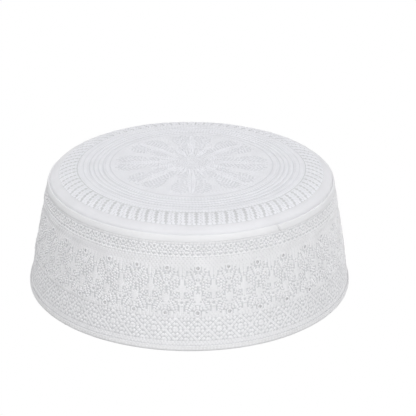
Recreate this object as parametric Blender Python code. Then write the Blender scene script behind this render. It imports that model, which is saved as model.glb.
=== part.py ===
# A round prayer cap of white embroidered cotton, flat on top and open below.
# It stands on its rim with the crown up. Metres, +Z up, and the front faces -Y.
#
# Four pieces, from the top down: the crown panel, whose edge turns down over the shoulder;
# the plain strip that is sewn round the shoulder seam, with its two ends meeting right of the
# front; the side band, pierced by two rows of eyelets; and the turned hem of the rim, whose
# inner leg runs up behind the band.
#
# Each piece is a section in the (radius, height) plane, turned about the Z axis.

from math import cos, hypot, radians, sin, sqrt, tau

import bmesh
import bpy
from mathutils import Matrix, Vector

# The cap's outside: a straight tapered wall, a quarter ellipse for a shoulder, a low dome
HEAD_GIRTH = 0.570  # round the outside of the rim
RIM_RADIUS = HEAD_GIRTH / tau
WALL_HEIGHT = 0.0594  # where the wall ends and the shoulder starts to turn
WALL_TOP_RADIUS = 0.0799
SHOULDER_REACH = 0.0250  # how far in the shoulder's quarter ellipse runs
SHOULDER_RISE = 0.0092
DOME_RISE = 0.0020
LEAN = 0.00095  # how far to +X the soft crown sits over the rim
CAP_HEIGHT = WALL_HEIGHT + SHOULDER_RISE + DOME_RISE
DOME_RADIUS = WALL_TOP_RADIUS - SHOULDER_REACH

# Cloth and seams
CLOTH = 0.0016  # the embroidered cloth with its backing
STRIP_CLOTH = 0.0011
HEM_CLOTH = 0.0010
MARGIN_CLOTH = 0.0012  # the band's upper margin, which runs up behind the strip
MARGIN_TURN = 0.0030  # how much of the band's inside slants over to the margin
GAP = 0.0003  # between two pieces that touch
STITCH_GROOVE = 0.0004  # how deep a sewn line pulls in
GROOVE_WIDTH = 0.0010
RIM_BEVEL = 0.0003

# Heights of the seams on the wall
HEM_TOP = 0.0035
HEM_LEG_TOP = 0.0080
STRIP_BOTTOM = 0.0582
STRIP_TOP = 0.0622
BAND_GROOVES = (0.0189, 0.0470)

# Sewn rings on the crown, by radius
CROWN_RINGS = (0.0490, 0.0515, 0.0540, 0.0565)
BORDER_RING = 0.0640

# Eyelets: one above and one below each flower of the band
REPEATS = 32
FIRST_EYELET = radians(2.65)  # right of the front
EYELET_HEIGHTS = (0.0203, 0.0440)
EYELET_DIAMETER = 0.0014
EYELET_SIDES = 8

# The strip's ends meet here, on a slant
STRIP_JOINT = radians(39.0)  # right of the front
STRIP_JOINT_GAP = radians(0.35)
STRIP_JOINT_SLANT = radians(1.2)

# Steps round the turn. The band's put each eyelet in the middle of a flat.
BAND_STEPS = 3 * REPEATS
CROWN_STEPS = 80
TRIM_STEPS = 72


def turned_from_front(angle):
    # The unit vector at `angle` to the right of the front, seen from above.
    return Vector((sin(angle), -cos(angle), 0.0))


def wall_radius(height):
    # Outside radius at a height: the straight wall, then the shoulder's ellipse.
    if height <= WALL_HEIGHT:
        return RIM_RADIUS + (WALL_TOP_RADIUS - RIM_RADIUS) * height / WALL_HEIGHT
    rise = (height - WALL_HEIGHT) / SHOULDER_RISE
    return DOME_RADIUS + SHOULDER_REACH * sqrt(1.0 - rise**2)


def wall_point(height, inset=0.0):
    return wall_radius(height) - inset, height


def crown_point(radius, inset=0.0):
    # A point of the crown's section, moved in by `inset` along the surface's normal.
    if radius <= DOME_RADIUS:
        height = WALL_HEIGHT + SHOULDER_RISE + DOME_RISE * (1.0 - (radius / DOME_RADIUS) ** 2)
        slope = -2.0 * DOME_RISE * radius / DOME_RADIUS**2
    else:
        out = (radius - DOME_RADIUS) / SHOULDER_REACH
        across = sqrt(1.0 - out**2)
        height = WALL_HEIGHT + SHOULDER_RISE * across
        slope = -SHOULDER_RISE / SHOULDER_REACH * out / across
    length = hypot(slope, 1.0)
    return radius + inset * slope / length, height - inset / length


def crown_section():
    # The rings lie side by side, so a ridge stands halfway between each two.
    pitch = CROWN_RINGS[1] - CROWN_RINGS[0]
    outer = [crown_point(0.0), crown_point(0.024), crown_point(CROWN_RINGS[0] - pitch / 2)]
    for ring in CROWN_RINGS:
        outer += [crown_point(ring, STITCH_GROOVE), crown_point(ring + pitch / 2)]
    outer += [
        crown_point(BORDER_RING - GROOVE_WIDTH / 2),
        crown_point(BORDER_RING, STITCH_GROOVE),
        crown_point(BORDER_RING + GROOVE_WIDTH / 2),
    ]
    edge = wall_radius(STRIP_TOP + GAP)
    turn = (0.0690, 0.0730, 0.0762, edge)
    outer += [crown_point(radius) for radius in turn]
    inner_turn = (0.0762, 0.0730, 0.0680, 0.0600)
    inner = [(edge - CLOTH, STRIP_TOP + GAP)]
    inner += [crown_point(radius, CLOTH) for radius in inner_turn]
    inner += [crown_point(0.0300, CLOTH), crown_point(0.0, CLOTH)]
    return outer + inner


def strip_section():
    heights = (STRIP_BOTTOM, WALL_HEIGHT, (WALL_HEIGHT + STRIP_TOP) / 2, STRIP_TOP)
    outer = [wall_point(height) for height in reversed(heights)]
    inner = [wall_point(height, STRIP_CLOTH) for height in heights]
    return outer + inner


def band_section():
    bottom = HEM_TOP + GAP
    shelf = STRIP_BOTTOM - GAP
    margin_out = STRIP_CLOTH + GAP
    margin_in = margin_out + MARGIN_CLOTH
    middle = (WALL_HEIGHT + STRIP_TOP) / 2
    section = [
        wall_point(STRIP_TOP, margin_out),
        wall_point(middle, margin_out),
        wall_point(shelf, margin_out),
        wall_point(shelf),
    ]
    for groove in reversed(BAND_GROOVES):
        section += [
            wall_point(groove + GROOVE_WIDTH / 2),
            wall_point(groove, STITCH_GROOVE),
            wall_point(groove - GROOVE_WIDTH / 2),
        ]
    section += [
        wall_point(bottom),
        wall_point(bottom, CLOTH),
        wall_point(shelf - MARGIN_TURN, CLOTH),
        wall_point(shelf, margin_in),
        wall_point(middle, margin_in),
        wall_point(STRIP_TOP, margin_in),
    ]
    return section


def hem_section():
    leg_out = CLOTH + GAP
    leg_in = leg_out + HEM_CLOTH
    return [
        wall_point(HEM_TOP),
        wall_point(RIM_BEVEL),
        (RIM_RADIUS - RIM_BEVEL, 0.0),
        (RIM_RADIUS - leg_in + RIM_BEVEL, 0.0),
        wall_point(RIM_BEVEL, leg_in),
        wall_point(HEM_LEG_TOP, leg_in),
        wall_point(HEM_LEG_TOP, leg_out),
        wall_point(HEM_TOP, leg_out),
    ]


def turn_section(name, section, steps, start=0.0, sweep=tau, closed=True):
    # A section turned about Z. A closed section is a loop, and an open one runs from the axis
    # back to the axis. Short of a whole turn, the section itself closes both ends.
    whole = sweep == tau
    mesh = bmesh.new()
    first = turned_from_front(start)
    points = [mesh.verts.new(first * radius + Vector((0, 0, height))) for radius, height in section]
    edges = [mesh.edges.new(pair) for pair in zip(points, points[1:])]
    if closed:
        edges.append(mesh.edges.new((points[-1], points[0])))
    cap = [] if whole else [mesh.faces.new(points)]
    bmesh.ops.spin(
        mesh,
        geom=cap or points + edges,
        cent=(0, 0, 0),
        axis=(0, 0, 1),
        angle=sweep,
        steps=steps,
        use_merge=whole,
    )
    bmesh.ops.remove_doubles(mesh, verts=mesh.verts, dist=0.00001)
    return finish_piece(name, mesh)


def finish_piece(name, mesh):
    # Turns the faces out and puts the cap's slight lean into every point.
    bmesh.ops.recalc_face_normals(mesh, faces=mesh.faces)
    for vert in mesh.verts:
        vert.co.x += LEAN * vert.co.z / CAP_HEIGHT
    data = bpy.data.meshes.new(name)
    mesh.to_mesh(data)
    mesh.free()
    data.shade_smooth()
    data.set_sharp_from_angle(angle=radians(35))
    piece = bpy.data.objects.new(name, data)
    bpy.context.scene.collection.objects.link(piece)
    return piece


def slant_joint(piece):
    # Slants the strip's two ends: a point turns about Z by its height up the strip.
    height = STRIP_TOP - STRIP_BOTTOM
    for vert in piece.data.vertices:
        share = (vert.co.z - STRIP_BOTTOM) / height - 0.5
        lean = Vector((LEAN * vert.co.z / CAP_HEIGHT, 0, 0))
        turn = Matrix.Rotation(share * STRIP_JOINT_SLANT, 3, "Z")
        vert.co = turn @ (vert.co - lean) + lean


def add_eyelet_cutter():
    # One short rod across the wall for each eyelet, square to the wall.
    slope = (RIM_RADIUS - WALL_TOP_RADIUS) / WALL_HEIGHT
    mesh = bmesh.new()
    for height in EYELET_HEIGHTS:
        for repeat in range(REPEATS):
            out = turned_from_front(FIRST_EYELET + repeat * tau / REPEATS)
            along = (out + Vector((0, 0, slope))).normalized()
            place = Matrix.Translation(out * wall_radius(height) + Vector((0, 0, height)))
            bmesh.ops.create_cone(
                mesh,
                cap_ends=True,
                segments=EYELET_SIDES,
                radius1=EYELET_DIAMETER / 2,
                radius2=EYELET_DIAMETER / 2,
                depth=4 * CLOTH,
                matrix=place @ along.to_track_quat("Z", "Y").to_matrix().to_4x4(),
            )
    cutter = finish_piece("eyelet_cutter", mesh)
    cutter.hide_render = True
    cutter.display_type = "WIRE"
    return cutter


def paint(piece, name, colour, roughness):
    material = bpy.data.materials.new(name)
    material.use_nodes = True
    shader = material.node_tree.nodes["Principled BSDF"]
    shader.inputs["Base Color"].default_value = (*colour, 1.0)
    shader.inputs["Roughness"].default_value = roughness
    shader.inputs["Metallic"].default_value = 0.0
    shader.inputs["Sheen Weight"].default_value = 0.2
    piece.data.materials.append(material)


def build_cap():
    crown = turn_section("crown_panel", crown_section(), CROWN_STEPS, closed=False)
    paint(crown, "crown_cloth", (0.84, 0.85, 0.86), 0.85)

    strip = turn_section(
        "shoulder_strip",
        strip_section(),
        TRIM_STEPS,
        start=STRIP_JOINT + STRIP_JOINT_GAP / 2,
        sweep=tau - STRIP_JOINT_GAP,
    )
    slant_joint(strip)
    paint(strip, "strip_cloth", (0.88, 0.89, 0.90), 0.80)

    # Half a step round, so that the flats and not the corners face the eyelets
    half_step = tau / BAND_STEPS / 2
    band = turn_section("side_band", band_section(), BAND_STEPS, start=FIRST_EYELET + half_step)
    pierce = band.modifiers.new("eyelets", "BOOLEAN")
    pierce.object = add_eyelet_cutter()
    pierce.operation = "DIFFERENCE"
    pierce.solver = "EXACT"
    paint(band, "band_cloth", (0.82, 0.83, 0.85), 0.85)

    hem = turn_section("hem", hem_section(), TRIM_STEPS)
    paint(hem, "hem_cloth", (0.80, 0.81, 0.83), 0.80)


for old in list(bpy.data.objects):
    bpy.data.objects.remove(old)
build_cap()
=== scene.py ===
import bpy
import numpy as np
from mathutils import Matrix, Vector


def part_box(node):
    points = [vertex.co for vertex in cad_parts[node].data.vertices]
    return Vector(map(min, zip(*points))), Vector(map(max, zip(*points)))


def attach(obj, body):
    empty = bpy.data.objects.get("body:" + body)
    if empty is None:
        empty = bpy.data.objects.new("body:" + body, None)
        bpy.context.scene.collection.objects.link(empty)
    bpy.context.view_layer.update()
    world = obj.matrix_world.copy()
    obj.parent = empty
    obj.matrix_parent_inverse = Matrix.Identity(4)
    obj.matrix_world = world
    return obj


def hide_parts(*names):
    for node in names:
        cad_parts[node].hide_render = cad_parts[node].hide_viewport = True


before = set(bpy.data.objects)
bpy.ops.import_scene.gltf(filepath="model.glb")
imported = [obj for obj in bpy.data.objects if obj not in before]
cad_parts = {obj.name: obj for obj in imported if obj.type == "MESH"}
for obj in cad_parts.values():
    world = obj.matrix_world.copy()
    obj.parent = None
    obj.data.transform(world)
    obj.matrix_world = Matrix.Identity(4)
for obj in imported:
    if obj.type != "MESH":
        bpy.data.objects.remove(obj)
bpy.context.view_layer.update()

# A round prayer cap of white embroidered cotton: a flat crown, a plain strip round the shoulder,
# a tapered band pierced by two rows of eyelets, and a turned hem.
# Everything is in metres, +Z up and the front at -Y. Embroidery is planned in millimetres: across
# and up on the wall, and seen from above on the crown.

mm = 0.001
rng = np.random.default_rng(32)

cap = {
    "rimRadius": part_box("hem")[1].y,
    "height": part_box("crown_panel")[1].z,
    "wallHeight": 0.0594,  # where the wall ends and the shoulder starts to turn
    "wallTopRadius": 0.0799,
    "shoulderReach": 0.0250,  # the shoulder is a quarter ellipse
    "shoulderRise": 0.0092,
    "lean": 0.00095,  # how far to +X the crown sits over the rim
    "repeats": 32,  # flowers round the band
    "firstRepeat": np.radians(2.65),  # right of the front
    "wallUnit": 84.5,  # millimetres of plan to one radian round the wall
}
girth = 2 * np.pi * cap["wallUnit"]  # plan millimetres once round the wall
cell = girth / cap["repeats"]
seamRepeat = (cap["repeats"] - 1) / 2  # the back seam lies between two repeats
backSeam = seamRepeat * cell


# Small helpers

def beside(*parts):
    # Arrays side by side, along a last axis of their own
    return np.stack(np.broadcast_arrays(*parts), axis=-1)


def circle(count):
    # Angles of even steps round a whole turn
    return 2 * np.pi * np.arange(count) / count


def ramp(value, start, width):
    # 0 at `start`, 1 at `start` + `width`, and level beyond both
    return np.clip((value - start) / width, 0, 1)


def join(*parts):
    return np.concatenate(parts)


def lengths(vectors):
    return np.linalg.norm(vectors, axis=-1)


def unit(vectors):
    # Each vector over its own length
    return vectors / lengths(vectors)[..., None]


def travelled(path):
    # How far along a path each of its points lies
    return join([0], np.cumsum(lengths(np.diff(path, axis=0))))


# The cap's shape

def capProfile():
    # Straight wall, quarter ellipse and low dome, sampled evenly
    step = np.linspace(0, 1, 400)
    wall, reach, rise = cap["wallHeight"], cap["shoulderReach"], cap["shoulderRise"]
    domeRadius = cap["wallTopRadius"] - reach
    domeRise = cap["height"] - wall - rise
    quarter = step[1:] * np.pi / 2
    inward = domeRadius * (1 - step[1:])
    radius = join(cap["rimRadius"] + (cap["wallTopRadius"] - cap["rimRadius"]) * step,
                  domeRadius + reach * np.cos(quarter), inward)
    height = join(wall * step, wall + rise * np.sin(quarter),
                  wall + rise + domeRise * (1 - (inward / domeRadius) ** 2))
    length = travelled(beside(radius, height))
    even = np.linspace(0, length[-1], 1500)
    radius, height = np.interp(even, length, radius), np.interp(even, length, height)
    # the direction of travel, averaged over 1.5 mm so that no normal jumps
    turn = np.arctan2(np.gradient(height), np.gradient(radius))
    turn = np.convolve(np.pad(turn, 8, mode="edge"), np.ones(17) / 17, mode="valid")
    return {"along": even, "radius": radius, "height": height,
            "outR": np.sin(turn), "outZ": -np.cos(turn)}


profile = capProfile()


def onProfile(key, along):
    # In straight lines between the profile's samples, as in the two functions below
    return np.interp(along, profile["along"], profile[key])


def alongAtHeight(height):
    return np.interp(height, profile["height"], profile["along"])


def alongAtRadius(radius):
    return np.interp(radius, profile["radius"][::-1], profile["along"][::-1])


softLook = {
    # depths of waves and dents, and their sines: share, turns round the cap, radians to a metre, phase
    "wave": 0.00022, "waves": ((0.5, 3, 30, 1.3), (0.3, 5, -55, -0.7), (0.2, 11, 80, 2.1)),
    "dent": 0.0003, "dents": ((1 / 3, 31, 260, 0.5), (1 / 3, 37, -140, 4.0), (1 / 3, 24, -350, 1.9)),
    "ledge": 0.00042, "ledges": (0.0186, 0.0478),  # heights where the wall steps in a little below
    "ledgeEdge": 0.0005, "ledgeFade": 0.010,
    "calm": 0.15,  # radians right of the front, where dents and ledges lose most of their depth
    "calmDents": 0.7, "calmLedges": 0.85,
    "joint": np.radians(35.3), "pull": 0.00025,  # where the strip's ends meet and draw the cloth in
    "jointWidth": 0.009, "jointSlant": 4.6, "jointMiddle": 0.0615,
    # where each starts up the cloth, and the way over which it comes in or, with a minus, goes out
    "overHem": (0.008, 0.008), "underStrip": (0.056, -0.006),
    "dipFoot": (0.0545, 0.002), "dipTop": (0.0648, -0.002), "crownFade": 0.03,
}


def sines(table, angle, along):
    # The sum of share * sin(turns * angle + climb * along + phase)
    return sum(share * np.sin(turns * angle + climb * along + phase)
               for share, turns, climb, phase in table)


def strayed(angle, along, look=softLook):
    # Slow waves that fade out at the crown's middle, small dents and two ledges in the wall, and a
    # narrow dip along the strip's joint. A ledge is half of 1 + tanh(distance above it / its edge),
    # and dies away above
    calm = np.clip(np.cos(angle - look["calm"]), 0, 1)
    belowStrip = ramp(along, *look["underStrip"])
    waves = sines(look["waves"], angle, along) * ramp(onProfile("radius", along), 0, look["crownFade"])
    dents = sines(look["dents"], angle, along) * (1 - look["calmDents"] * calm ** 3)
    dents = dents * ramp(along, *look["overHem"]) * belowStrip
    above = [along - alongAtHeight(height) for height in look["ledges"]]
    ledges = sum((1 + np.tanh(up / look["ledgeEdge"])) / 2 * np.exp(-np.clip(up, 0, 1) / look["ledgeFade"])
                 for up in above)
    ledges = ledges * (1 - look["calmLedges"] * calm ** 2) * belowStrip
    fromJoint = angle - look["joint"] + look["jointSlant"] * (along - look["jointMiddle"])
    dip = np.exp((np.cos(fromJoint) - 1) / look["jointWidth"] ** 2)
    dip = dip * ramp(along, *look["dipFoot"]) * ramp(along, *look["dipTop"])
    return look["wave"] * waves + look["dent"] * dents + look["ledge"] * ledges - look["pull"] * dip


def onCap(angle, along, lift):
    # A point of the turned profile, `lift` out along its normal; the angle runs right from the front
    angle, along, lift = np.broadcast_arrays(angle, along, lift)
    lift = lift + strayed(angle, along)
    radius = onProfile("radius", along) + lift * onProfile("outR", along)
    height = onProfile("height", along) + lift * onProfile("outZ", along)
    return beside(radius * np.sin(angle) + cap["lean"] * height / cap["height"],
                  -radius * np.cos(angle), height)


def onWall(across, up, lift):
    # Plan millimetres on the wall; `across` counts from the first repeat's middle
    angle = cap["firstRepeat"] + across / cap["wallUnit"]
    return onCap(angle, alongAtHeight(up * mm), lift)


def onCrown(x, y, lift):
    # Plan millimetres on the crown, seen from above with the front at the bottom
    radius = np.hypot(x, y) * mm
    return onCap(np.arctan2(x, -y), alongAtRadius(radius), lift + crownRelief(radius, crownLook))


# Meshes

def addObject(name, data):
    made = bpy.data.objects.new(name, data)
    bpy.context.scene.collection.objects.link(made)
    return made


def makeMesh(name, points, faces, uv=None):
    # `faces` is a list of whole arrays, one for each number of corners
    mesh = bpy.data.meshes.new(name)
    faces = [np.asarray(group, dtype=np.int32) for group in faces if len(group)]
    loops = join(*[group.ravel() for group in faces])
    corners = join(*[np.full(len(group), group.shape[1], dtype=np.int32) for group in faces])
    starts = join([0], np.cumsum(corners)[:-1]).astype(np.int32)
    mesh.vertices.add(len(points))
    mesh.vertices.foreach_set("co", np.asarray(points, dtype=np.float32).ravel())
    mesh.loops.add(len(loops))
    mesh.loops.foreach_set("vertex_index", loops)
    mesh.polygons.add(len(corners))
    mesh.polygons.foreach_set("loop_start", starts)
    if uv is not None:
        layer = mesh.uv_layers.new(name="UVMap")
        layer.data.foreach_set("uv", np.asarray(uv, dtype=np.float32)[loops].ravel())
    mesh.update(calc_edges=True)
    mesh.shade_smooth()
    return addObject(name, mesh)


def gridQuads(rows, columns, closed):
    # Quads of a grid whose columns run round the cap, anticlockwise from outside
    across = np.arange(columns if closed else columns - 1)
    row = np.arange(rows - 1)[:, None] * columns
    right = (across + 1) % columns
    return beside(row + across, row + right, row + columns + right, row + columns + across).reshape(-1, 4)


def openEdges(quads, count):
    # Edges that only one face uses, in that face's direction
    edges = join(*[quads[:, [corner, (corner + 1) % 4]] for corner in range(4)])
    return edges[~np.isin(edges @ [count, 1], edges @ [1, count])]


def clothShell(name, angle, along, lift, quads, uv, look, ring=None):
    # A surface on a grid and one behind it, joined along every open edge. `ring` is the last ring
    # round the crown's middle, closed by a fan round one point on either surface
    depths = (0, look["thickness"])
    outer, inner = [onCap(angle, along, lift - depth).reshape(-1, 3) for depth in depths]
    count = len(outer)
    edges = openEdges(quads, count)
    if ring is not None:
        edges = edges[~np.isin(edges, ring).all(axis=1)]
    walls = np.hstack([edges[:, ::-1], edges + count])
    points, allUv = [outer, inner], [uv, uv]
    groups = [join(quads, quads[:, ::-1] + count, walls)]
    inside = np.repeat([0, 1, 0], [len(quads), len(quads), len(walls)])
    if ring is not None:
        after, peak = np.roll(ring, -1), 2 * count
        groups.append(join(beside(ring, after, peak), beside(after + count, ring + count, peak + 1)))
        points.append([onCap(0.0, profile["along"][-1], look["outside"] - depth) for depth in depths])
        allUv.append([uv[ring].mean(0)] * 2)
        inside = join(inside, np.repeat([0, 1], len(ring)))
    shell = makeMesh(name, join(*points), groups, join(*allUv))
    shell.data.polygons.foreach_set("material_index", inside.astype(np.int32))
    return shell


# Embroidery plans: rows of (x0, y0, x1, y1, width, rise), all in millimetres

def rows(start, end, width, rise):
    start, end = np.atleast_2d(start).astype(float), np.atleast_2d(end).astype(float)
    return np.hstack([start, end, beside(np.full(len(start), width), rise)])


def dashes(middle, half, height, width, rise, climb=0.0):
    # Stitches `half` to either side of their middles, with the right end `climb` higher
    return rows(beside(middle - half, height), beside(middle + half, height + climb), width, rise)


def bowed(start, end, bow=0.0, count=48):
    # A line that swells to its left by a sine arch
    start, end = np.array(start, float), np.array(end, float)
    step = np.linspace(0, 1, count)[:, None]
    line = end - start
    return start + line * step + leftOf(unit(line)) * bow * np.sin(np.pi * step)


def arch(centre, radius, spread, count=64):
    # The upper part of a circle, `spread` degrees to either side of its top
    turn = np.radians(np.linspace(90 - spread, 90 + spread, count))
    return radius * beside(np.cos(turn), np.sin(turn)) + centre


def walk(path, pitch):
    # Even steps along a path: points, directions and how far along each is
    length = travelled(path)
    count = max(1, round(length[-1] / pitch))
    at = (np.arange(count) + 0.5) / count
    point, heading = [beside(*[np.interp(at * length[-1], length, values[:, axis]) for axis in (0, 1)])
                      for values in (path, np.gradient(path, length, axis=0))]
    return point, unit(heading), at


def leftOf(heading):
    # A quarter turn to the left: (-y, x)
    return beside(-heading[..., 1], heading[..., 0])


def running(path, stitch=1.8, gap=0.15, width=1.1, rise=0.4):
    # Stitches end to end along a path
    point, heading, _ = walk(path, stitch)
    half = heading * (stitch - gap) / 2
    return rows(point - half, point + half, width, rise)


def leaf(base, tip, width, bow=0.0, pitch=1.25, slant=0.5, thread=1.08, rise=0.46, full=0.75,
         apart=0.12, shortest=0.6):
    # Two rows of slanted stitches that meet at a leaf's rib, `apart` from it; half width =
    # width/2 * sin(pi*t)^full, with t from 0.02 to 0.98
    point, heading, at = walk(bowed(base, tip, bow), pitch)
    half = (width / 2 * np.sin(np.pi * np.clip(at * 0.96 + 0.02, 0, 1)) ** full)[:, None]
    left, lean = leftOf(heading), heading * half * slant
    plan = join(*[rows(point + side * left * apart - lean / 2, point + side * left * half + lean / 2,
                       thread, rise) for side in (1, -1)])
    return plan[lengths(plan[:, 2:4] - plan[:, 0:2]) > shortest]


def hatched(base, tip, width, angle=90.0, pitch=1.15, thread=1.12, rise=0.4, full=0.75, shift=0.5,
            shortest=0.7):
    # A leaf filled with even lines at `angle` to its rib: each line keeps what lies inside
    # half width = width/2 * sin(pi*t)^full
    base, tip = np.array(base, float), np.array(tip, float)
    length, rib = lengths(tip - base), unit(tip - base)
    left, turn = leftOf(rib), np.radians(angle)
    step = np.array([np.sin(turn), -np.cos(turn)]) * pitch  # from line to line, in (along the rib, left)
    count = int(1.5 * length / pitch) + 2
    number = np.arange(-count, count)[:, None] + shift
    reach = np.linspace(-length, length, 400)
    along = length / 2 + number * step[0] + reach * np.cos(turn)
    aside = number * step[1] + reach * np.sin(turn)
    share = np.clip(along / length, 0, 1)
    inside = (along > 0) & (along < length)
    inside &= np.abs(aside) <= width / 2 * np.sin(np.pi * share) ** full
    kept = inside.sum(axis=1) * (reach[1] - reach[0]) > shortest
    line = (base + along[..., None] * rib + aside[..., None] * left)[kept]
    index, inside = np.arange(len(line)), inside[kept]
    first, last = inside.argmax(axis=1), len(reach) - 1 - inside[:, ::-1].argmax(axis=1)
    return rows(line[index, first], line[index, last], thread, rise)


def rays(centre, inner, outer, count, turn=0.0, width=1.1, rise=0.38):
    # Stitches round a point, like spokes
    angle = np.radians(turn + 360 / count * np.arange(count))
    spoke = beside(np.cos(angle), np.sin(angle))
    return rows(spoke * inner + centre, spoke * outer + centre, width, rise)


def cutLong(plan, longest, gap, stagger=0.18):
    # Divides stitches that are too long to lie flat, every other one elsewhere, with gaps between
    length = lengths(plan[:, 2:4] - plan[:, 0:2])
    parts = np.maximum(1, np.ceil(length / longest)).astype(int)
    which = np.repeat(np.arange(len(plan)), parts)
    place = np.arange(len(which)) - np.repeat(np.cumsum(parts) - parts, parts)
    plan, parts = plan[which], parts[which]
    shift = np.where(which % 2, stagger, -stagger)
    trim = gap / 2 / np.maximum(length[which], 1e-6)
    first = np.where(place == 0, 0, (place + shift) / parts + trim)[:, None]
    last = np.where(place == parts - 1, 1, (place + 1 + shift) / parts - trim)[:, None]
    start, line = plan[:, 0:2], plan[:, 2:4] - plan[:, 0:2]
    return np.hstack([start + line * first, start + line * last, plan[:, 4:6]])


def bricks(path, motifs, shift, clear=0.66, gap=-0.3, width=1.4, rise=0.1):
    # A filling row of stitches two steps of the path long. A step nearer than `clear` to a motif's
    # stitch stays bare, and a single step left over gets a short stitch
    samples = join(*[motifs[:, 0:2] * (1 - t) + motifs[:, 2:4] * t for t in np.linspace(0, 1, 5)])
    middle = (path[:-1] + path[1:]) / 2
    bare = lengths(middle[:, None] - samples).min(axis=1) < clear
    spans, index = [], 0
    while index < len(bare):
        pair = index + 1 < len(bare) and not bare[index + 1] and not (shift and index == 0)
        if not bare[index]:
            spans.append((index, index + 1 + pair))
        index += 1 + (pair and not bare[index])
    if not spans:
        return np.zeros((0, 6))
    starts, ends = path[np.array(spans).T]
    trim = unit(ends - starts) * gap / 2
    return rows(starts + trim, ends - trim, width, rise)


def mirrored(plan):
    # A plan and its mirror image across x = 0
    return join(plan, plan * [-1, 1, -1, 1, 1, 1])


def moved(plan, x):
    return plan + [x, 0, x, 0, 0, 0]


def turned(plan, degrees):
    # Turns a plan about the crown's middle
    cos, sin = np.cos(np.radians(degrees)), np.sin(np.radians(degrees))
    spin = np.array([[cos, sin], [-sin, cos]])
    return np.hstack([plan[:, 0:2] @ spin, plan[:, 2:4] @ spin, plan[:, 4:6]])


def roundWall(plan, count=cap["repeats"], seamWidth=2.2):
    # Repeats a plan round the wall; the back seam's own width stays bare
    whole = join(*[moved(plan, girth / count * index) for index in range(count)])
    middle = (whole[:, 0] + whole[:, 2]) / 2
    fromSeam = (middle - backSeam + girth / 2) % girth - girth / 2
    return whole[np.abs(fromSeam) > seamWidth / 2]


stitchLook = {
    "broad": (0.9, 1.0, 0.9), "high": (0.72, 1.0, 0.72),  # shares of width and rise at the three rings
    "under": -0.16, "edge": 0.02, "point": -0.12,  # millimetres over the base
    "uneven": (0.88, 1.12), "uvShift": 0.01,
    "points": 14, "triangles": 24,
}


def sew(name, plan, place, base=-0.48, shake=0.05, end=0.11, look=stitchLook):
    # Each stitch is a closed lens along its line: three rings of four corners, and a point at each end
    # that dives into the cloth; `end` is the share of its length from the point to the first ring
    plan = plan.copy()
    plan[:, 0:4] += rng.normal(0, shake, (len(plan), 4))
    plan[:, 5] *= rng.uniform(*look["uneven"], len(plan))
    count = len(plan)
    start, line = plan[:, 0:2], plan[:, 2:4] - plan[:, 0:2]
    length = lengths(line)
    left = leftOf(line / np.maximum(length, 1e-6)[:, None])
    at = np.array([end, 0.5, 1 - end])
    ring = start[:, None] + line[:, None] * at[None, :, None]  # count, 3, 2
    side = left[:, None] * (plan[:, 4, None] / 2 * look["broad"])[:, :, None]
    over = base + plan[:, 5, None] * look["high"]
    flat = np.stack([ring, ring + side, ring, ring - side], axis=2)  # count, 3, 4, 2
    rise = beside(base + look["under"], base + look["edge"], over, base + look["edge"])
    ends = np.stack([start, start + line], axis=1)
    flat = np.hstack([flat.reshape(count, 12, 2), ends]).reshape(-1, 2)
    rise = np.hstack([rise.reshape(count, 12), np.full((count, 2), base + look["point"])])
    points = place(flat[:, 0], flat[:, 1], rise.ravel() * mm)
    first = np.arange(count)[:, None, None] * look["points"]
    corner = np.arange(4)
    after = (corner + 1) % 4
    belts = join(*[beside(low + corner, low + after, low + 4 + after, low + 4 + corner) for low in (0, 4)])
    caps = join(beside(12, after, corner), beside(13, 8 + corner, 8 + after))
    reach = length[:, None] * join(np.repeat(at, 4), [0, 1]) * mm
    wrap = join(np.tile(corner / 4, 3), [0.5, 0.5])
    uv = beside(reach + rng.uniform(0, look["uvShift"], (count, 1)), wrap).reshape(-1, 2)
    piece = makeMesh(name, points, [(first + belts).reshape(-1, 4), (first + caps).reshape(-1, 3)], uv)
    # the long edges at the cloth stay sharp, so that a stitch's back is shaded as it slopes
    edges = np.zeros(len(piece.data.edges) * 2, np.int32)
    piece.data.edges.foreach_get("vertices", edges)
    corners = edges.reshape(-1, 2) % look["points"]
    sharp = np.any([np.isin(corners, (low, low + 4, low + 8, 12, 13)).all(axis=1) for low in (1, 3)], axis=0)
    piece.data.attributes.new("sharp_edge", "BOOLEAN", "EDGE").data.foreach_set("value", sharp)
    return piece


# Materials

def feed(node, values):
    # Sets inputs, or links them where the value is another node's socket
    for key, value in values.items():
        if isinstance(value, bpy.types.NodeSocket):
            node.id_data.links.new(value, node.inputs[key])
        else:
            node.inputs[key].default_value = value
    return node


def addNode(tree, kind, values=None, **settings):
    node = tree.nodes.new("ShaderNode" + kind)
    for key, value in settings.items():
        setattr(node, key, value)
    return feed(node, values or {})


def calculate(tree, operation, *values):
    return addNode(tree, "Math", dict(enumerate(values)), operation=operation).outputs[0]


def wave(tree, value, period):
    # A sine with one turn in each `period`
    return calculate(tree, "SINE", calculate(tree, "MULTIPLY", value, 2 * np.pi / period))


def noise(tree, scale, detail):
    where = addNode(tree, "TexCoord").outputs["Object"]
    return addNode(tree, "TexNoise", {"Vector": where, "Scale": scale, "Detail": detail}).outputs["Fac"]


def weave(tree, x, y, look):
    # Over and under threads as the product of two sines, in metres, with uneven threads and a soft
    # crumple as noise
    threads = calculate(tree, "MULTIPLY", wave(tree, x, look["weave"]), wave(tree, y, look["weave"]))
    uneven = calculate(tree, "MULTIPLY_ADD", noise(tree, *look["unevenNoise"]), look["uneven"], threads)
    return calculate(tree, "MULTIPLY_ADD", noise(tree, *look["crumpleNoise"]), look["crumple"], uneven)


def strands(tree, x, y, look):
    # Strands side by side that wind slowly round the stitch: ridges = strands * turn + length / twist
    along = calculate(tree, "MULTIPLY", x, 1 / look["twist"])
    return wave(tree, calculate(tree, "MULTIPLY_ADD", y, look["strands"], along), 1.0)


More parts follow.
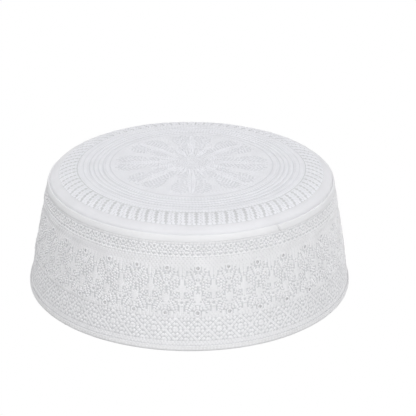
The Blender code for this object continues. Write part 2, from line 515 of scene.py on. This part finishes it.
def newMaterial(name, colour, roughness, sheen, specular=0.35):
    material = bpy.data.materials.new(name)
    material.use_nodes = True
    shader = material.node_tree.nodes["Principled BSDF"]
    feed(shader, {"Base Color": (*colour, 1), "Roughness": roughness, "Specular IOR Level": specular,
                  "Sheen Weight": sheen, "Sheen Roughness": 0.45})
    return material, shader


def textile(name, base, colour, **changes):
    # The colour swings by `mottle` of itself in clouds, and the relief follows the piece's UV
    look = {**base, **changes}
    material, shader = newMaterial(name, colour, look["roughness"], look["sheen"])
    tree = material.node_tree
    clouds = addNode(tree, "ValToRGB", {"Fac": noise(tree, look["clouds"], 3.0)})
    for element, position, swing in zip(clouds.color_ramp.elements, (0.3, 0.7), (-1, 1)):
        element.position = position
        element.color = (*[min(1.0, part * (1 + swing * look["mottle"])) for part in colour], 1)
    uv = addNode(tree, "SeparateXYZ", {0: addNode(tree, "UVMap").outputs["UV"]})
    height = look["relief"](tree, uv.outputs["X"], uv.outputs["Y"], look)
    bump = addNode(tree, "Bump", {"Height": height, "Strength": look["bump"], "Distance": look["depth"]})
    feed(shader, {"Base Color": clouds.outputs["Color"], "Normal": bump.outputs["Normal"]})
    return material


clothLook = {"relief": weave, "roughness": 0.9, "sheen": 0.1, "mottle": 0.03, "clouds": 60.0,
             "bump": 0.35, "depth": 0.0001, "weave": 0.00042, "uneven": 1.2, "crumple": 2.0,
             "unevenNoise": (900.0, 2.0), "crumpleNoise": (260.0, 1.0)}  # scale and detail
threadLook = {"relief": strands, "roughness": 0.5, "sheen": 0.25, "mottle": 0.03, "clouds": 140.0,
              "bump": 0.25, "depth": 0.00006, "strands": 12.0, "twist": 0.0035}
# Painted shade: the cloth under the band's embroidery and the crown's border is darker than the plain cloth,
# so that the gaps between stitches and the bare dots read as shadow
gapShadeCloth = textile("cotton_with_painted_gap_shade", clothLook, (0.60, 0.605, 0.62))
# Painted shade as well: the crown's cloth is a little darker than the plain cloth, for shadow in the gaps
# between the crown's stitches
crownGapShadeCloth = textile("crown_cotton_with_painted_gap_shade", clothLook, (0.68, 0.685, 0.715))
hemCloth = textile("hem_cotton", clothLook, (0.72, 0.72, 0.725),
                   roughness=0.85, weave=0.00036, bump=0.3, crumple=4.0)
tapeCloth = textile("tape_cotton", clothLook, (0.765, 0.766, 0.778),
                    roughness=0.95, weave=0.00034, bump=0.2, crumple=8.0)
plainCloth = textile("plain_cotton", clothLook, (0.722, 0.722, 0.746), roughness=0.8, sheen=0.2,
                     mottle=0.035, weave=0.00036, bump=0.25, crumple=9.0)
wallThread = textile("embroidery_thread", threadLook, (0.775, 0.774, 0.788))
crownThread = textile("crown_thread", threadLook, (0.775, 0.778, 0.812))


def dress(piece, materials, node=None):
    # Gives a finished piece its materials and body, and hides the part it stands for
    for material in materials:
        piece.data.materials.append(material)
    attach(piece, "root")
    if node:
        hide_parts(node)
        print(node.replace("_", " ") + ":", len(piece.data.polygons), "faces")
    return piece


# Camera, light and floor

cameraLook = {"eye": (0.0, -0.9105, 0.4461), "aim": (0.0103, 0.0027, 0.0409),
              "roll": np.radians(0.4), "lens": 153.97}


def setCamera(look):
    data = bpy.data.cameras.new("camera")
    data.lens = look["lens"]
    data.sensor_width = 36.0
    data.clip_start = 0.01
    camera = addObject("camera", data)
    eye, aim = Vector(look["eye"]), Vector(look["aim"])
    facing = (aim - eye).to_track_quat("-Z", "Y").to_matrix().to_4x4()
    camera.matrix_world = Matrix.Translation(eye) @ facing @ Matrix.Rotation(look["roll"], 4, "Z")
    bpy.context.scene.camera = camera


roomLook = {
    "ambient": (0.985, 0.99, 1.0), "ambientStrength": 0.30,
    "backdrop": 1.0,  # how bright the camera sees the floor and what lies beyond it
    # degrees up from the floor, degrees round to the right of the front, strength, degrees of spread
    "lamps": {"studio_lamp": (47.0, 9.0, 2.68, 16.0), "side_lamp": (20.0, -80.0, 0.1, 20.0),
              "back_lamp_right": (10.0, 138.0, 1.0, 30.0), "back_lamp_left": (10.0, -138.0, 1.0, 30.0)},
    "floor": (0.55, 0.55, 0.555), "floorRadius": 6.0, "floorCorners": 96, "floorDown": 0.0001,
    "under": cap["rimRadius"] - 0.001,
    "throughCloth": 0.46,  # the floor inside glows as if light came through the thin cloth
}


def addLamp(name, height, right, strength, spread):
    # A broad lamp, its direction given from the front, upwards and to the right
    data = bpy.data.lights.new(name, "SUN")
    data.energy = strength
    data.angle = np.radians(spread)
    lamp = addObject(name, data)
    height, right = np.radians(height), np.radians(right)
    toLamp = Vector((np.cos(height) * np.sin(right), -np.cos(height) * np.cos(right), np.sin(height)))
    lamp.location = toLamp * 2
    lamp.rotation_euler = toLamp.to_track_quat("Z", "Y").to_euler()


def whiteToCamera(tree, usual, output, kind, strength):
    # The studio's white sweep: even white to the camera, and its usual self as a light source
    white = addNode(tree, kind, {"Color": (1, 1, 1, 1), "Strength": strength})
    seen = addNode(tree, "LightPath").outputs["Is Camera Ray"]
    mix = addNode(tree, "MixShader", {0: seen, 1: usual.outputs[0], 2: white.outputs[0]})
    feed(tree.nodes[output], {"Surface": mix.outputs[0]})


def openBelow(tree):
    # A camera under the floor looks through it
    output = tree.nodes["Material Output"]
    usual = output.inputs["Surface"].links[0].from_socket
    geometry, path, clear = [addNode(tree, kind) for kind in ("NewGeometry", "LightPath", "BsdfTransparent")]
    below = calculate(tree, "MULTIPLY", geometry.outputs["Backfacing"], path.outputs["Is Camera Ray"])
    mix = addNode(tree, "MixShader", {0: below, 1: usual, 2: clear.outputs[0]})
    feed(output, {"Surface": mix.outputs[0]})


def setRoom(look):
    world = bpy.data.worlds.new("studio")
    bpy.context.scene.world = world
    world.use_nodes = True
    ambient = world.node_tree.nodes["Background"]
    feed(ambient, {"Color": (*look["ambient"], 1), "Strength": look["ambientStrength"]})
    whiteToCamera(world.node_tree, ambient, "World Output", "Background", look["backdrop"])
    for name, lamp in look["lamps"].items():
        addLamp(name, *lamp)
    bpy.context.scene.view_settings.view_transform = "Standard"
    # a wide ring round the cap, and a disc under it
    count = look["floorCorners"]
    turn, ring = circle(count), np.arange(count)
    edge = beside(np.cos(turn), np.sin(turn), 0)
    after = (ring + 1) % count
    for name, points, faces in (
            ("floor", join(edge * look["floorRadius"], edge * look["under"]),
             beside(ring, after, after + count, ring + count)),
            ("floor_under_cap", edge * look["under"], ring[None])):
        floor = makeMesh(name, points - (0, 0, look["floorDown"]), [faces])
        material, shader = newMaterial("pale_" + name, look["floor"], 0.95, 0.0, specular=0.0)
        if name == "floor":
            whiteToCamera(material.node_tree, shader, "Material Output", "Emission", look["backdrop"])
        else:
            feed(shader, {"Emission Color": (1, 1, 1, 1), "Emission Strength": look["throughCloth"]})
        openBelow(material.node_tree)
        floor.data.materials.append(material)


setCamera(cameraLook)
setRoom(roomLook)
print("camera, light and floor")


# Side band: a cloth pierced by two rows of eyelets

bandLook = {
    "bottom": 0.0012, "top": 0.0600,
    "columnsPerRepeat": 12, "rowPitch": 0.00139,
    "outside": -0.00047, "thickness": 0.0007,
    "tuckFrom": 0.0577, "tuckOver": 0.0005, "tuckedBy": 0.00065,  # where the band goes in behind the strip
    "eyeletHeights": (0.0205, 0.0443), "eyeletRadius": 0.00077,
    "seamDepth": 0.0004, "uvRadius": 0.085,
}


def sideBand(look):
    # The turned profile on a grid of rows up the wall and columns round it, `outside` from it
    columns = cap["repeats"] * look["columnsPerRepeat"]
    angle = cap["firstRepeat"] + circle(columns)
    # rows an even pitch apart, nudged so that one lies on each row of eyelets
    marks = alongAtHeight(np.array([look["bottom"], *look["eyeletHeights"], look["top"]]))
    parts = [np.linspace(a, b, max(2, round((b - a) / look["rowPitch"])) + 1)[:-1]
             for a, b in zip(marks[:-1], marks[1:])]
    along = join(*parts, marks[-1:])
    tuck = ramp(onProfile("height", along), look["tuckFrom"], look["tuckOver"]) * look["tuckedBy"]
    grid, run = np.meshgrid(angle, along)
    lift = np.repeat((look["outside"] - tuck)[:, None], columns, axis=1)
    lift[:, round(seamRepeat * look["columnsPerRepeat"])] -= look["seamDepth"]
    # an eyelet takes out the four quads round a grid point and rounds their outline
    hole = np.zeros(grid.size, bool)
    for row in (len(parts[0]), len(parts[0]) + len(parts[1])):
        centre = row * columns + np.arange(0, columns, look["columnsPerRepeat"])
        hole[centre] = True
        for down, right in [(d, r) for d in (-1, 0, 1) for r in (-1, 0, 1) if d or r]:
            corner = (row + down) * columns + (centre % columns + right) % columns
            reach = look["eyeletRadius"] / np.hypot(down, right)
            radius = onProfile("radius", run.flat[corner])
            grid.flat[corner] = angle[centre % columns] + right * reach / radius
            run.flat[corner] = along[row] + down * reach
    quads = gridQuads(len(along), columns, True)
    used, quads = np.unique(quads[~hole[quads].any(axis=1)], return_inverse=True)
    grid, run, lift = [values.ravel()[used] for values in (grid, run, lift)]
    return clothShell("side_band_cloth", grid, run, lift, quads.reshape(-1, 4),
                      beside(grid * look["uvRadius"], run), look)


# outside, the band has the darker cloth of painted gap shade; inside, the plain cloth
band = dress(sideBand(bandLook), [gapShadeCloth, plainCloth], "side_band")


# Crown panel: a round cloth that turns down over the shoulder

crownLook = {
    "columns": 192, "edge": 0.0607,  # height of the crown's edge, tucked in behind the strip
    "tuckFrom": 0.0628, "tuckOver": 0.0010, "tuckedBy": 0.0008,
    "outside": -0.00047, "thickness": 0.0009,
    # sewn rings and seams, as radius, depth and half width
    "sewn": (*[(radius, 0.00024, 0.0007) for radius in (0.0490, 0.0515, 0.0540, 0.0565)],
             (0.0635, 0.0002, 0.0006), (0.0736, 0.0002, 0.0006)),
    # the mesh's rings: five round each sewn one, and radii from, to and pitch between them
    "near": 0.0006 * np.arange(-2, 3), "nearest": 0.00025,
    "even": ((0.0015, 0.0478, 0.0016), (0.0585, 0.0625, 0.0013), (0.0652, 0.0726, 0.0012)),
    "marginTo": 0.0756, "marginRings": 11,
    # the bare margin lies as high as the stitches
    "border": 0.0632, "plainFrom": 0.0736, "plainOver": 0.0008, "plainLift": 0.00022,
}


def crownRelief(radius, look):
    # Sewn rings pull cloth and stitches in as narrow dips, each a bell curve of the radius
    return -sum(depth * np.exp(-((radius - middle) / width) ** 2) for middle, depth, width in look["sewn"])


def crownPanel(look):
    # The turned profile on rings from the edge inwards; lift = outside + sewn dips + margin - tuck
    columns = look["columns"]
    near = (np.array(look["sewn"])[:, :1] + look["near"]).ravel()
    radii = np.sort(join(near, *[np.arange(*span) for span in look["even"]]))[::-1]
    radii = radii[join([True], np.diff(radii) < -look["nearest"])]
    margin = np.linspace(alongAtHeight(look["edge"]), alongAtRadius(look["marginTo"]), look["marginRings"])
    along = join(margin, alongAtRadius(radii))
    radius = onProfile("radius", along)
    tuck = ramp(onProfile("height", along), look["tuckFrom"], -look["tuckOver"]) * look["tuckedBy"]
    plain = ramp(radius, look["plainFrom"], look["plainOver"]) * look["plainLift"]
    lift = look["outside"] + crownRelief(radius, look) + plain - tuck
    grid, run = np.meshgrid(circle(columns), along)
    uv = beside(radius[:, None] * np.sin(grid), -radius[:, None] * np.cos(grid)).reshape(-1, 2)
    ring = (len(along) - 1) * columns + np.arange(columns)
    shell = clothShell("crown_panel_cloth", grid, run, lift[:, None], gridQuads(len(along), columns, True),
                       uv, look, ring)
    # outside, the faces come in rings from the edge: the plain margin first, then the border, whose cloth is
    # dark as painted shade in the dashes between the pillows
    faces = np.zeros(len(shell.data.polygons), np.int32)
    shell.data.polygons.foreach_get("material_index", faces)
    margin, border = [(radius > look[key]).sum() * columns for key in ("plainFrom", "border")]
    faces[:margin] = 1
    faces[margin:border] = 2
    shell.data.polygons.foreach_set("material_index", faces)
    return shell


# the crown's middle takes the cloth with painted gap shade, the margin the plain cloth, and the border the
# darker cloth of painted gap shade
crown = dress(crownPanel(crownLook), [crownGapShadeCloth, plainCloth, gapShadeCloth],
              "crown_panel")


# Shoulder strip: a folded tape round the joint of crown and band

stripLook = {
    "bottom": 0.0580, "top": 0.0616, "drift": 0.0003,  # its end lies higher than its start by `drift`
    "joint": softLook["joint"], "gap": np.radians(0.025), "slant": np.radians(1.2),
    "columns": 360, "uvRadius": 0.082,
    "cloth": 0.0003, "turnedUnder": 0.0018,  # each long edge is folded in behind the face
    "face": -0.00034, "behind": -0.00095,  # middles of the two layers, at the edges
    "swell": 0.0001,  # how far the face bulges from a straight line between its edges
    "pucker": 0.00005, "puckers": (236, 2, 17),
}


def foldLine(middle, lift, half, first, last, count=7):
    # Half a turn of cloth's middle line, in (distance up the cap, lift)
    turn = np.radians(np.linspace(first, last, count))
    return beside(middle + half * np.cos(turn), lift + half * np.sin(turn))


def straightLine(start, end, count):
    # Even points between start and end, without these two
    step = np.linspace(0, 1, count + 2)[1:-1, None]
    return (1 - step) * start + step * end


def foldedTape(name, path, angle, closed, look):
    # A folded cloth: its middle line in (distance up the cap, lift) gets half the thickness on either
    # side, and the closed section is carried round the cap, its face up the outside. The edges pucker
    # by sin(puckers * angle + crowding * sin(slower * angle))
    off = leftOf(unit(np.gradient(path, axis=0))) * look["cloth"] / 2
    section = join(path + off, (path - off)[::-1])
    columns, count = len(angle), len(section)
    low, high = path[:, 0].min(), path[:, 0].max()
    share = (section[:, 0] * 2 - low - high)[:, None] / (high - low)  # -1 at the lower edge, 1 at the upper
    grid = angle[None] - share / 2 * look["slant"]
    puckers, crowding, slower = look["puckers"]
    ripple = np.sin(grid * puckers + crowding * np.sin(grid * slower))
    lift = section[:, 1, None] + look["pucker"] * share ** 2 * ripple
    along = section[:, 0, None] + look["drift"] * (angle - angle.mean()) / (2 * np.pi)
    groups = [gridQuads(count + 1, columns, closed) % (count * columns)]
    if not closed:
        outer = np.arange(len(path) - 1) * columns
        inner = (count - 1) * columns - outer
        start = beside(outer, outer + columns, inner - columns, inner)
        groups += [start, start[:, ::-1] + columns - 1]
    uv = beside(grid * look["uvRadius"], travelled(section)[:, None])
    return makeMesh(name, onCap(grid, along, lift).reshape(-1, 3), groups, uv.reshape(-1, 2))


def shoulderStrip(look):
    # Down behind from one raw edge, round the lower fold, up the face, round the upper fold and down
    low, high = alongAtHeight(look["bottom"]), alongAtHeight(look["top"])
    face, behind, under = look["face"], look["behind"], look["turnedUnder"]
    half = (face - behind) / 2
    step = np.linspace(0, 1, 11)
    # the face's lift over the shoulder: from the profile to the straight line, along the normal
    along = low + half + (high - low - 2 * half) * step
    at = beside(onProfile("radius", along), onProfile("height", along))
    out = beside(onProfile("outR", along), onProfile("outZ", along))
    edge = at + face * out
    line = edge[0] + (edge[-1] - edge[0]) * step[:, None]
    lift = ((line - at) * out).sum(axis=1) + look["swell"] * np.sin(np.pi * step)
    path = join(straightLine((low + half + under, behind), (low + half, behind), 3),
                foldLine(low + half, face - half, half, 270, 90),
                beside(along, lift)[1:-1],
                foldLine(high - half, face - half, half, 90, -90),
                straightLine((high - half, behind), (high - half - under, behind), 3))
    turn = np.linspace(0, 1, look["columns"]) * (2 * np.pi - look["gap"])
    return foldedTape("shoulder_strip_cloth", path, look["joint"] + look["gap"] / 2 + turn, False, look)


strip = dress(shoulderStrip(stripLook), [tapeCloth], "shoulder_strip")


# Hem: the rim's cloth, folded round the band's lower edge

hemLook = {
    "top": 0.0035, "legTop": 0.0080, "columns": 288, "uvRadius": 0.09,
    "cloth": 0.00045, "outside": -0.00022, "inside": -0.00164,  # middles of the two legs
    "slant": 0.0, "drift": 0.0, "pucker": 0.0, "puckers": (0, 0, 0),
    "ticks": 297,
}


def hemTurn(look):
    # Down the inside leg, round the fold that the cap stands on and up the outside
    outside, inside = look["outside"], look["inside"]
    half, middle = (outside - inside) / 2, (outside + inside) / 2
    # the wall leans, so the fold starts where its lowest point touches the floor
    low = (half + look["cloth"] / 2 - middle * profile["outZ"][0]) / profile["outR"][0]
    path = join(straightLine((look["legTop"], inside), (low, inside), 6),
                foldLine(low, middle, half, 270, 90, 11),
                straightLine((low, outside), (look["top"], outside), 4))
    return foldedTape("hem_cloth", path, circle(look["columns"]), True, look)


hem = dress(hemTurn(hemLook), [hemCloth], "hem")


# Embroidery on the band: flowers below the upper eyelets, on a ground of horizontal rows

def spots(*places):
    # Places that the ground rows leave bare, where the cloth, darkened as painted shade, shows as a dark dot
    return rows(places, places, 0.0, 0.0)


def flowerPlan():
    # Two petals and a bud, three nested chevrons, side leaves, a lower bud and two lower petals
    half = join(
        leaf((1.5, 36.6), (4.7, 43.4), 4.6),
        leaf((2.6, 31.2), (7.0, 28.9), 2.6, bow=0.3),
        leaf((2.3, 27.6), (5.6, 21.0), 4.2, bow=0.2),
        rows([(2.4, 22.6), (1.5, 23.9)], [(1.2, 22.4), (2.3, 24.6)], 1.0, 0.25),
        *[running(bowed((0.3, low), (6.4, low + 4.4), bow=-0.25)) for low in (31.5, 33.0, 34.5)],
    )
    return join(mirrored(half), hatched((0, 38.0), (0, 42.2), 2.6), hatched((0, 22.3), (0, 24.6), 2.4))


def fillerPlan(middle):
    # Between two flowers: two arches and a star
    return join(running(arch((middle, 36.9), 2.5, 82)), running(arch((middle, 36.9), 3.7, 62)),
                rays((middle, 26.0), 0.6, 2.3, 8, turn=22.5))


def satinPlan():
    # Smooth hearts and lozenges, low over the ground rows
    smooth = dict(pitch=0.95, thread=1.1, rise=0.22, full=1.0)
    return join(hatched((0, 25.2), (0, 31.2), 3.8, **smooth),
                hatched((cell / 2, 29.8), (cell / 2, 37.4), 3.9, **smooth))


def eyeletPlan():
    # Close spokes round each pierced hole
    return join(*[rays((0, height / mm), 0.79, 1.8, 13, width=0.74, rise=0.28)
                  for height in bandLook["eyeletHeights"]])


groundLook = {"low": 19.75, "high": 45.0, "row": 1.14, "steps": 16,
              "stitch": {"gap": -0.1, "width": 1.28, "rise": 0.13}}
upperLook = {"low": 50.3, "high": 57.0, "row": 1.12, "steps": 6, "stitch": {"clear": 0.55}, "count": 88}


def groundPlan(first, last, motifs, look):
    # Horizontal rows over one repeat, each half a stitch off the one below
    across = np.linspace(first, last, look["steps"] + 1)
    levels = np.arange(look["low"], look["high"], look["row"])
    return join(*[bricks(beside(across, level), motifs, index % 2, **look["stitch"])
                  for index, level in enumerate(levels)])


flower, filler, eyelet = flowerPlan(), fillerPlan(cell / 2), eyeletPlan()
centres = spots((0, 44.3), (0, 20.5), (cell / 2, 26.0), (-cell / 2, 26.0))
ground = groundPlan(-cell / 2, cell / 2, join(flower, filler, moved(filler, -cell), eyelet, centres),
                    groundLook)


# Above the flowers: a row of eyes between arches, and below them a lattice of lozenges

def upperPlan(width):
    # Eyes with a dark middle, two nested arches between them, uprights and a slanted row below
    half, side = width / 2, 1.05
    uprights = rows([(half - side, 55.0), (half + side, 55.0), (0, 51.7)],
                    [(half - side, 56.7), (half + side, 56.7), (0, 53.5)], 1.1, 0.32)
    arches = [running(arch((half, 51.6), *shape), stitch=1.5) for shape in ((1.2, 80), (2.4, 86))]
    return join(rays((0, 55.3), 0.6, 1.65, 7, turn=12), *arches, uprights,
                dashes(half, 0.95, 54.55, 1.1, 0.3),
                dashes(np.arange(4) * width / 4 + 0.5, 0.5, 49.95, 1.15, 0.32, climb=1.25))


eyePitch = girth / upperLook["count"]
upper = upperPlan(eyePitch)
dark = spots(*[(x * eyePitch, up) for x, up in
               ((0, 55.3), (1, 55.3), (0.5, 51.7), (0.5, 56.2), (0, 52.6), (1, 52.6))])
upperGround = groundPlan(0, eyePitch, join(upper, moved(upper, eyePitch), dark), upperLook)

lineLook = [  # millimetres up, stitches round the cap, gap, rise
    (57.75, 260, -0.1, 0.14), (49.3, 260, 0.0, 0.13), (48.15, 260, -0.15, 0.1), (47.0, 260, 0.0, 0.12),
    (45.85, 260, -0.15, 0.1), (18.65, 297, -0.05, 0.14), (5.0, 297, -0.1, 0.1), (4.0, 297, -0.1, 0.1),
]


def linePlan(look):
    # Running rows right round the cap, each half a stitch off the one before
    return join(*[dashes((np.arange(count) + index % 2 / 2) * girth / count, (girth / count - gap) / 2,
                         height, 1.4, rise)
                  for index, (height, count, gap, rise) in enumerate(look)])


latticeLook = {"low": 5.9, "high": 17.8, "count": 48, "lines": 3, "row": 2.35,
               "edge": {"stitch": 2.3, "gap": -0.15, "width": 1.35, "rise": 0.22},
               "inner": {"stitch": 2.0, "gap": -0.1, "width": 1.35, "rise": 0.15}}


def latticePlan(look):
    # Two zigzag lines that cross make lozenges; finer lines a row apart lie inside and between them
    half, low, middle = girth / look["count"] / 2, look["low"], (look["low"] + look["high"]) / 2
    parts = [running(bowed((0, low), (half, middle)), **look["edge"])]
    for offset in look["row"] * np.arange(1, look["lines"]):
        share = offset / (middle - low)
        parts += [running(bowed((0, low + offset), (half * (1 - share), middle)), **look["inner"]),
                  running(bowed((half * share, low), (half, middle - offset)), **look["inner"])]
    lower = mirrored(join(*parts))
    upside = lower * [1, -1, 1, -1, 1, 1] + [0, 2 * middle, 0, 2 * middle, 0, 0]
    return join(lower, upside)


def hemPlan(look):
    # A running row along the hem and short upright ticks below it
    middle = np.arange(look["ticks"]) * girth / look["ticks"]
    return join(dashes(middle, 0.85, 2.85, 1.0, 0.14), dashes(middle, 0.0, 0.95, 1.25, 0.14, climb=1.35))


def seamPlan():
    # Slanted stitches that close the band at the back
    return dashes(backSeam, 0.9, np.arange(5.8, 56.5, 1.5), 0.8, 0.5, climb=0.7)


def embroider(name, plan, place=onWall, thread=wallThread, slot="embroidered_cloth", **stitch):
    print(name, "embroidery:", len(plan) * stitchLook["triangles"], "triangles")
    return dress(sew(name + "_embroidery", plan, place, **stitch), [thread])


fine = {"shake": 0.02, "end": 0.07}
bandStitches = [
    embroider("flower", roundWall(flower)),
    embroider("filler", roundWall(filler)),
    embroider("satin", roundWall(satinPlan()), shake=0.03),
    embroider("ground", roundWall(ground), **fine),
    embroider("upper_ground", roundWall(upperGround, upperLook["count"]), **fine),
    embroider("eyelet", roundWall(eyelet), shake=0.02),
    embroider("upper", roundWall(upper, upperLook["count"])),
    embroider("line", linePlan(lineLook), **fine),
    embroider("lattice", roundWall(latticePlan(latticeLook), latticeLook["count"]), end=0.07),
    embroider("seam", seamPlan()),
]
hemStitches = embroider("hem", hemPlan(hemLook), slot="plain_cloth", base=-0.07, shake=0.03)


# Embroidery on the crown: a rosette, radial rows between the sewn rings and a border of pillows

rosetteLook = {"petals": 8, "inner": 9.0, "outer": 43.0, "longest": 2.3}
petalTurns = 360 / rosetteLook["petals"] * np.arange(rosetteLook["petals"])


def flanks(shift):
    # Open hatching on both sides of a petal's rib; half a line further along when `shift` is 0
    return mirrored(join(*[
        hatched(base, tip, width, angle=angle, pitch=1.9, thread=0.95, rise=0.34, shift=shift)
        for base, tip, width, angle in (((3.7, -16.0), (5.0, -42.0), 6.4, 62),
                                        ((7.4, -27.5), (9.2, -40.5), 4.2, 118))]))


def rosettePlan(look):
    # One petal lies towards the front: a full rib between open flanks, and small leaves further in
    rib = leaf((0, -look["inner"]), (0, -look["outer"]), 4.4, pitch=1.3, slant=0.8, thread=1.2, rise=0.36)
    petal = join(rib, flanks(0.5))
    between = join(leaf((0, -8.0), (0, -21.5), 4.4, pitch=1.4, thread=1.15, rise=0.4),
                   running(arch((0, -25.2), 2.2, 60), width=1.15))
    parts = [turned(plan, turn + aside) for turn in petalTurns
             for plan, aside in ((petal, 0), (between, petalTurns[1] / 2))]
    middle = [rays((0, 0), near, far, count, width=1.3, rise=0.16)
              for near, far, count in ((0.3, 3.1, 9), (3.0, 5.6, 22), (5.5, 8.0, 35))]
    return cutLong(join(*parts, *middle), look["longest"], 0.2)


def ringPath(radius, pitch=1.0):
    # A circle from the front round to the right, in an even number of steps about `pitch` long
    turn = np.linspace(0, 2 * np.pi, 2 * round(np.pi * radius / pitch) + 1)
    return radius * beside(np.sin(turn), -np.cos(turn))


crownGroundLook = {"from": 9.0, "to": 44.8, "row": 1.17, "width": 1.32, "near": 3.5}


def crownGroundPlan(motifs, look):
    # Rings of stitches a row apart fill what the rosette leaves free; the open flanks stay bare
    motifs = join(motifs, *[turned(flanks(0.0), turn) for turn in petalTurns])
    reach = lengths((motifs[:, 0:2] + motifs[:, 2:4]) / 2)
    rings = np.arange(look["from"], look["to"], look["row"])
    return join(*[bricks(ringPath(radius), motifs[np.abs(reach - radius) < look["near"]], index % 2,
                         width=look["width"])
                  for index, radius in enumerate(rings)])


crownRings = [(45.2, 48.8), (49.2, 51.3), (51.7, 53.8), (54.2, 56.3), (56.7, 59.9), (59.9, 63.2)]


def crownRingsPlan(rings, thread=1.7):
    # Spokes side by side, as many as the ring's middle circle has room for
    return join(*[rays((0, 0), inner, outer, round(np.pi * (inner + outer) / thread), width=thread,
                       rise=0.15) for inner, outer in rings])


borderLook = {"pillows": 82, "turn": 2.2, "inner": 63.5, "outer": 73.5, "rows": 9,
              "bow": 0.6, "lean": 0.3, "sharpness": 2.2,
              "long": 0.75, "short": 1.9, "width": 1.2, "rise": 0.28, "puff": 0.08, "longest": 2.9}


def borderPlan(look):
    # Pillows of rows across: every other row stops short of the next pillow, and the bare cloth, darkened as
    # painted shade, shows as a line of dark dashes. They lean and bow by tanh(sharpness * sine of the
    # angle), which turns over at front and back
    pitch, row = 2 * np.pi / look["pillows"], np.arange(look["rows"])
    share = (row + 0.5) / look["rows"]
    radius = look["inner"] + (look["outer"] - look["inner"]) * share
    full = np.sin(np.pi * share)
    gap = np.where(row % 2, look["short"], look["long"])
    half = pitch / 2 - gap / 2 / radius
    turn = np.radians(look["turn"]) + (np.arange(look["pillows"])[:, None] + 0.5) * pitch
    side = np.tanh(look["sharpness"] * np.sin(turn))
    turn = turn + side * (look["bow"] * full / radius - np.radians(look["lean"]) * (radius - radius.mean()))
    start, end = [beside(radius * np.sin(turn + reach), -radius * np.cos(turn + reach)).reshape(-1, 2)
                  for reach in (-half, half)]
    rise = np.tile(look["rise"] + look["puff"] * full, look["pillows"])
    return cutLong(rows(start, end, look["width"], rise), look["longest"], 0.1)


rosette = rosettePlan(rosetteLook)
crownStitches = [
    embroider("crown_rosette", rosette, onCrown, crownThread),
    embroider("crown_ground", crownGroundPlan(rosette, crownGroundLook), onCrown, crownThread, **fine),
    embroider("crown_ring", crownRingsPlan(crownRings), onCrown, crownThread, **fine),
    embroider("crown_border", borderPlan(borderLook), onCrown, crownThread, shake=0.03),
]
